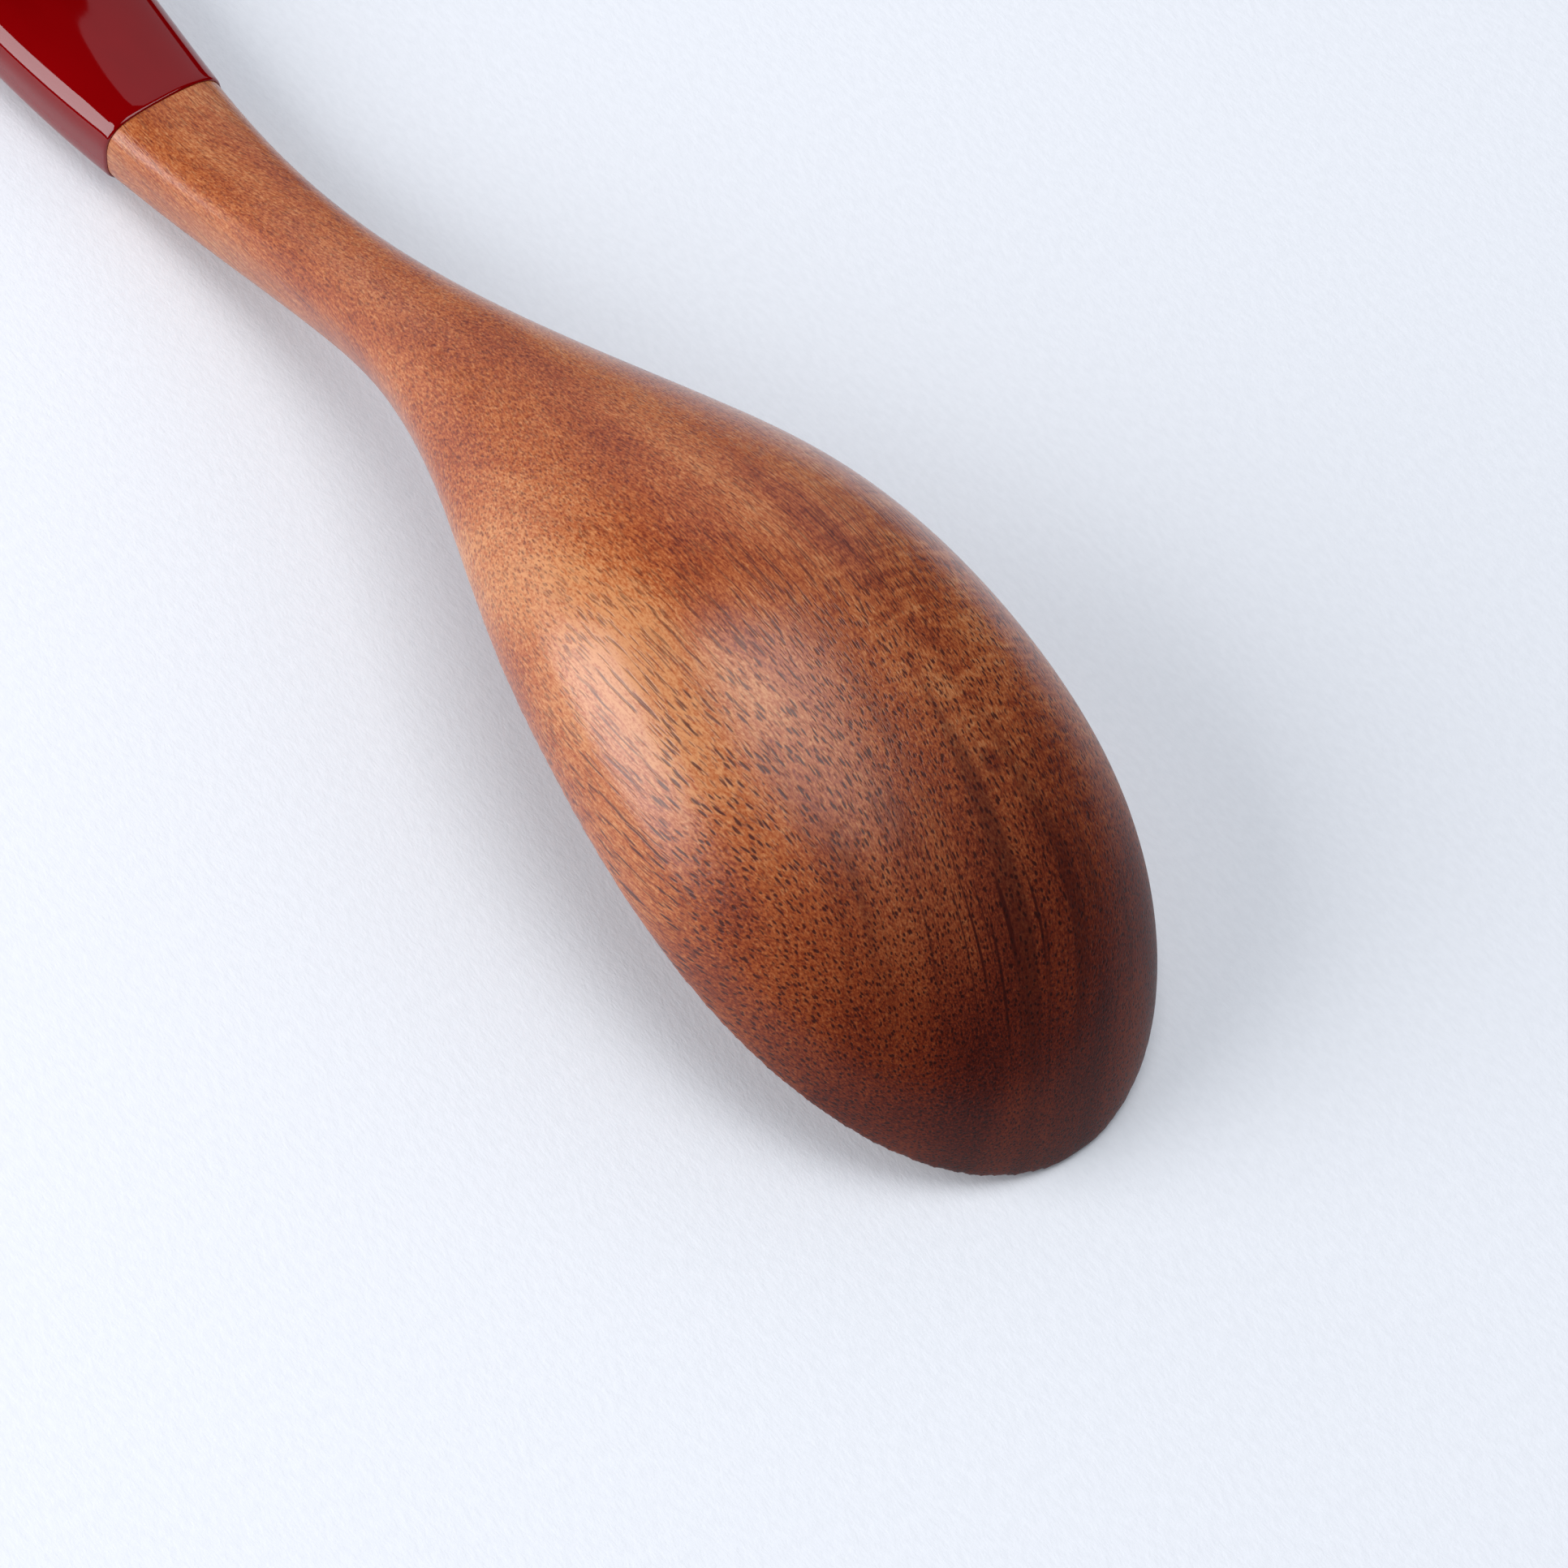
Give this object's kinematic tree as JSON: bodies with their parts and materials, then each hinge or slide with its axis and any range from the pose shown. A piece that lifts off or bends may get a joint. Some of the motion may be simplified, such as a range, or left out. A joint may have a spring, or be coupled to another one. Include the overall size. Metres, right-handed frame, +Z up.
{
  "type": "wooden spoon",
  "caption": "Carved wooden eating spoon lying bowl down, with a deep egg-shaped bowl, a slim neck and a curved handle whose outer part is coated in red lacquer.",
  "frame": {"origin": "middle of the footprint, on the surface that the spoon lies on", "axes": "+X along the spoon from the bowl's tip to the handle's end, +Y across it, +Z up, away from the hollow of the bowl"},
  "size_m": [0.2, 0.042, 0.0305],
  "materials": {
    "carved_wood": "reddish brown open-pored wood under a thin clear satin finish",
    "red_lacquer": "deep red lacquer, glossy"
  },
  "bodies": {
    "root": {"carved_spoon": "carved_wood", "red_handle_coat": "red_lacquer"}
  },
  "joints": []
}
